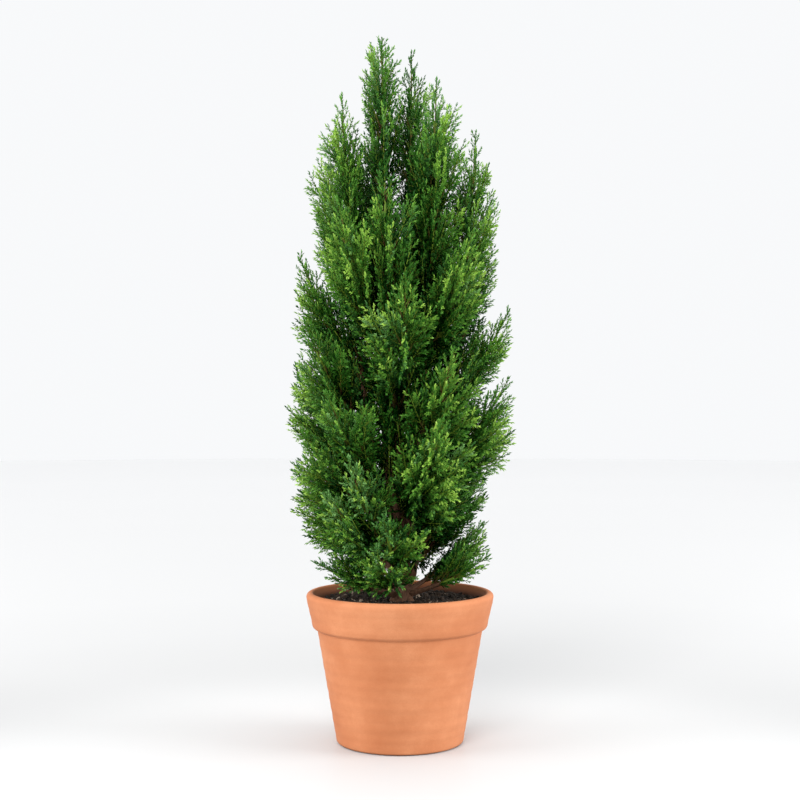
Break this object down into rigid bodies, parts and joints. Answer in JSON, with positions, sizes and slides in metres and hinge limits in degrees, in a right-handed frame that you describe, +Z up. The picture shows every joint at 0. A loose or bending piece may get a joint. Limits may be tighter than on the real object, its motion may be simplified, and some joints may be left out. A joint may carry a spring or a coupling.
{
  "type": "potted dwarf cypress",
  "caption": "Small columnar evergreen conifer, sold as a table-top christmas tree, with upright feathery plumes of needles, in a flared terracotta pot with a raised collar.",
  "frame": {"origin": "centre of the pot's flat underside, on the pot's axis", "axes": "+Z up along the pot's axis; the side that is seen from the front faces -Y, with +X to the viewer's right"},
  "size_m": [0.0991, 0.0997, 0.305],
  "materials": {
    "terracotta": "matt, unglazed",
    "compost": "loose, damp, gritty",
    "bark": "fibrous",
    "foliage": "soft, slightly waxy"
  },
  "bodies": {
    "root": {"bough_back_left": "bark", "bough_back_right": "bark", "bough_front": "bark", "bough_left": "bark", "bough_right": "bark", "bough_second": "bark", "bough_side_01": "bark", "bough_side_02": "bark", "bough_side_03": "bark", "bough_side_04": "bark", "bough_side_05": "bark", "bough_side_06": "bark", "bough_third": "bark", "compost": "compost", "foliage_back_left": "foliage", "foliage_back_right": "foliage", "foliage_front": "foliage", "foliage_leader": "foliage", "foliage_left": "foliage", "foliage_right": "foliage", "foliage_second": "foliage", "foliage_side_01": "foliage", "foliage_side_02": "foliage", "foliage_side_03": "foliage", "foliage_side_04": "foliage", "foliage_side_05": "foliage", "foliage_side_06": "foliage", "foliage_side_07": "foliage", "foliage_side_08": "foliage", "foliage_side_09": "foliage", "foliage_side_10": "foliage", "foliage_side_11": "foliage", "foliage_side_12": "foliage", "foliage_side_13": "foliage", "foliage_side_14": "foliage", "foliage_side_15": "foliage", "foliage_side_16": "foliage", "foliage_side_17": "foliage", "foliage_side_18": "foliage", "foliage_side_19": "foliage", "foliage_side_20": "foliage", "foliage_side_21": "foliage", "foliage_side_22": "foliage", "foliage_side_23": "foliage", "foliage_side_24": "foliage", "foliage_side_25": "foliage", "foliage_side_26": "foliage", "foliage_side_27": "foliage", "foliage_side_28": "foliage", "foliage_side_29": "foliage", "foliage_side_30": "foliage", "foliage_side_31": "foliage", "foliage_side_32": "foliage", "foliage_third": "foliage", "pot": "terracotta", "trunk": "bark"}
  },
  "joints": []
}
